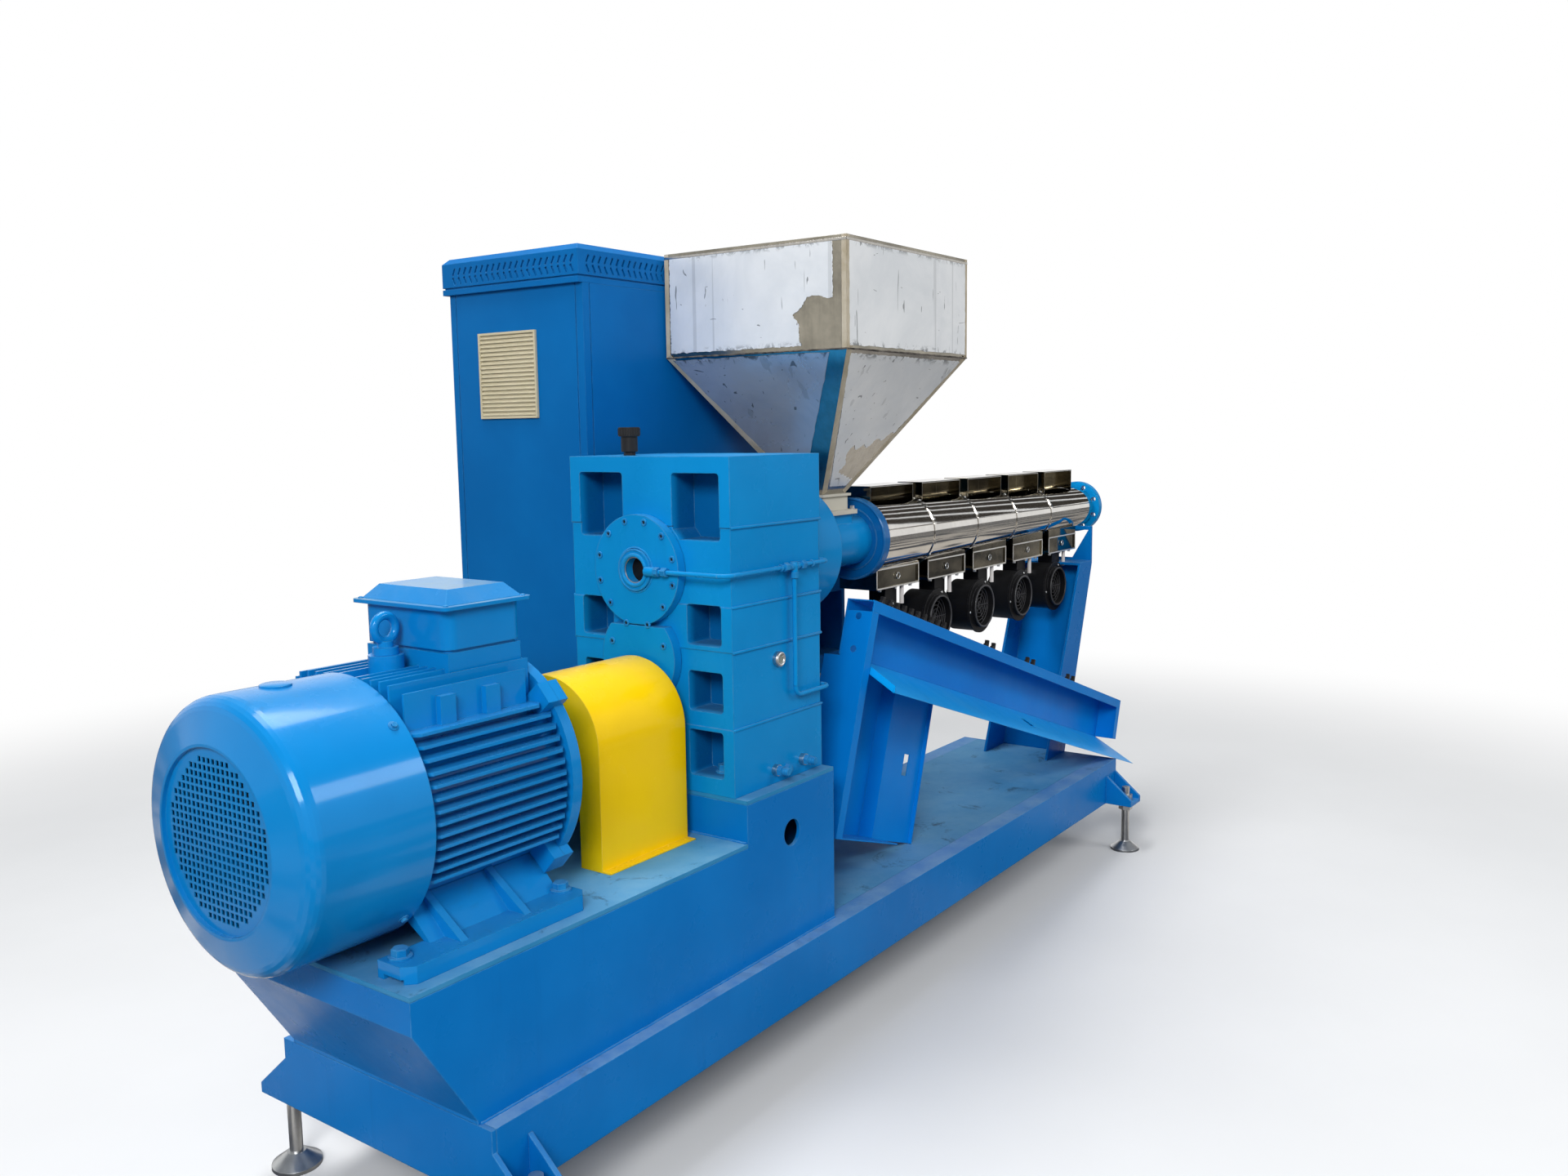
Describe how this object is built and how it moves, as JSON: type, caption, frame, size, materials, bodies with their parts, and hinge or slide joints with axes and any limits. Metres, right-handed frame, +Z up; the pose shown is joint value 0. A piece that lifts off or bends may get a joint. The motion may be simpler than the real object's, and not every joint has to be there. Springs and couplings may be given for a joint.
{
  "type": "conical twin-screw plastic extruder",
  "caption": "Blue plastic extruder on a steel base: motor, coupling guard, gearbox, hopper, polished tapering barrel with air cooling, loose wiring duct and control cabinet.",
  "frame": {"origin": "on the floor under the middle of the machine's box", "axes": "+X from the motor end to the outlet along the screws, +Y from the operator's side to the control cabinet, +Z up"},
  "size_m": [4.046, 1.3528, 2.193],
  "materials": {
    "blue_paint": "semi-gloss machine enamel over sheet and castings",
    "yellow_paint": "glossy safety yellow",
    "zinc_steel": "zinc plated",
    "machined_steel": "turned and nitrided, lightly oiled",
    "filmed_sheet": "stainless sheet still under its milky blue protective film",
    "polished_sheet": "mirror polished stainless sheet",
    "black_paint": "matt black",
    "black_plastic": "moulded, fine grain",
    "primed_plate": "pale beige primer",
    "beige_plastic": "moulded filter grilles"
  },
  "bodies": {
    "root": {"base_rail_near": "blue_paint", "base_rail_far": "blue_paint", "base_motor_end": "blue_paint", "base_outlet_end": "blue_paint", "base_cross_members": "blue_paint", "base_deck": "blue_paint", "levelling_feet": "zinc_steel", "pedestal_frame": "blue_paint", "pedestal_decks": "blue_paint", "motor_feet": "blue_paint", "motor_frame": "blue_paint", "motor_end_shield": "blue_paint", "motor_fan_cowl": "blue_paint", "motor_fan": "black_plastic", "terminal_box": "blue_paint", "terminal_box_lid": "blue_paint", "motor_lifting_eye": "blue_paint", "coupling": "machined_steel", "coupling_guard": "yellow_paint", "gearbox_housing": "blue_paint", "gearbox_upper_cover": "blue_paint", "gearbox_middle_cover": "blue_paint", "gearbox_input_cover": "blue_paint", "gearbox_breather": "black_plastic", "gearbox_oil_pipe": "blue_paint", "gearbox_fittings": "zinc_steel", "thrust_housing": "blue_paint", "feed_section": "machined_steel", "feed_throat": "primed_plate", "hopper_cone": "filmed_sheet", "hopper_box": "filmed_sheet", "barrel": "machined_steel", "barrel_cover": "polished_sheet", "barrel_cover_bands": "polished_sheet", "barrel_outlet_flange": "blue_paint", "upper_air_ducts": "polished_sheet", "lower_air_ducts": "polished_sheet", "cooling_blowers": "black_paint", "barrel_support": "blue_paint", "wiring_duct_beam": "blue_paint", "wiring_duct_skirt": "blue_paint", "wiring_duct_post": "blue_paint", "cabinet_plinth": "black_paint", "cabinet_body": "blue_paint", "cabinet_cap": "blue_paint", "cabinet_filters": "beige_plastic"}
  },
  "joints": []
}
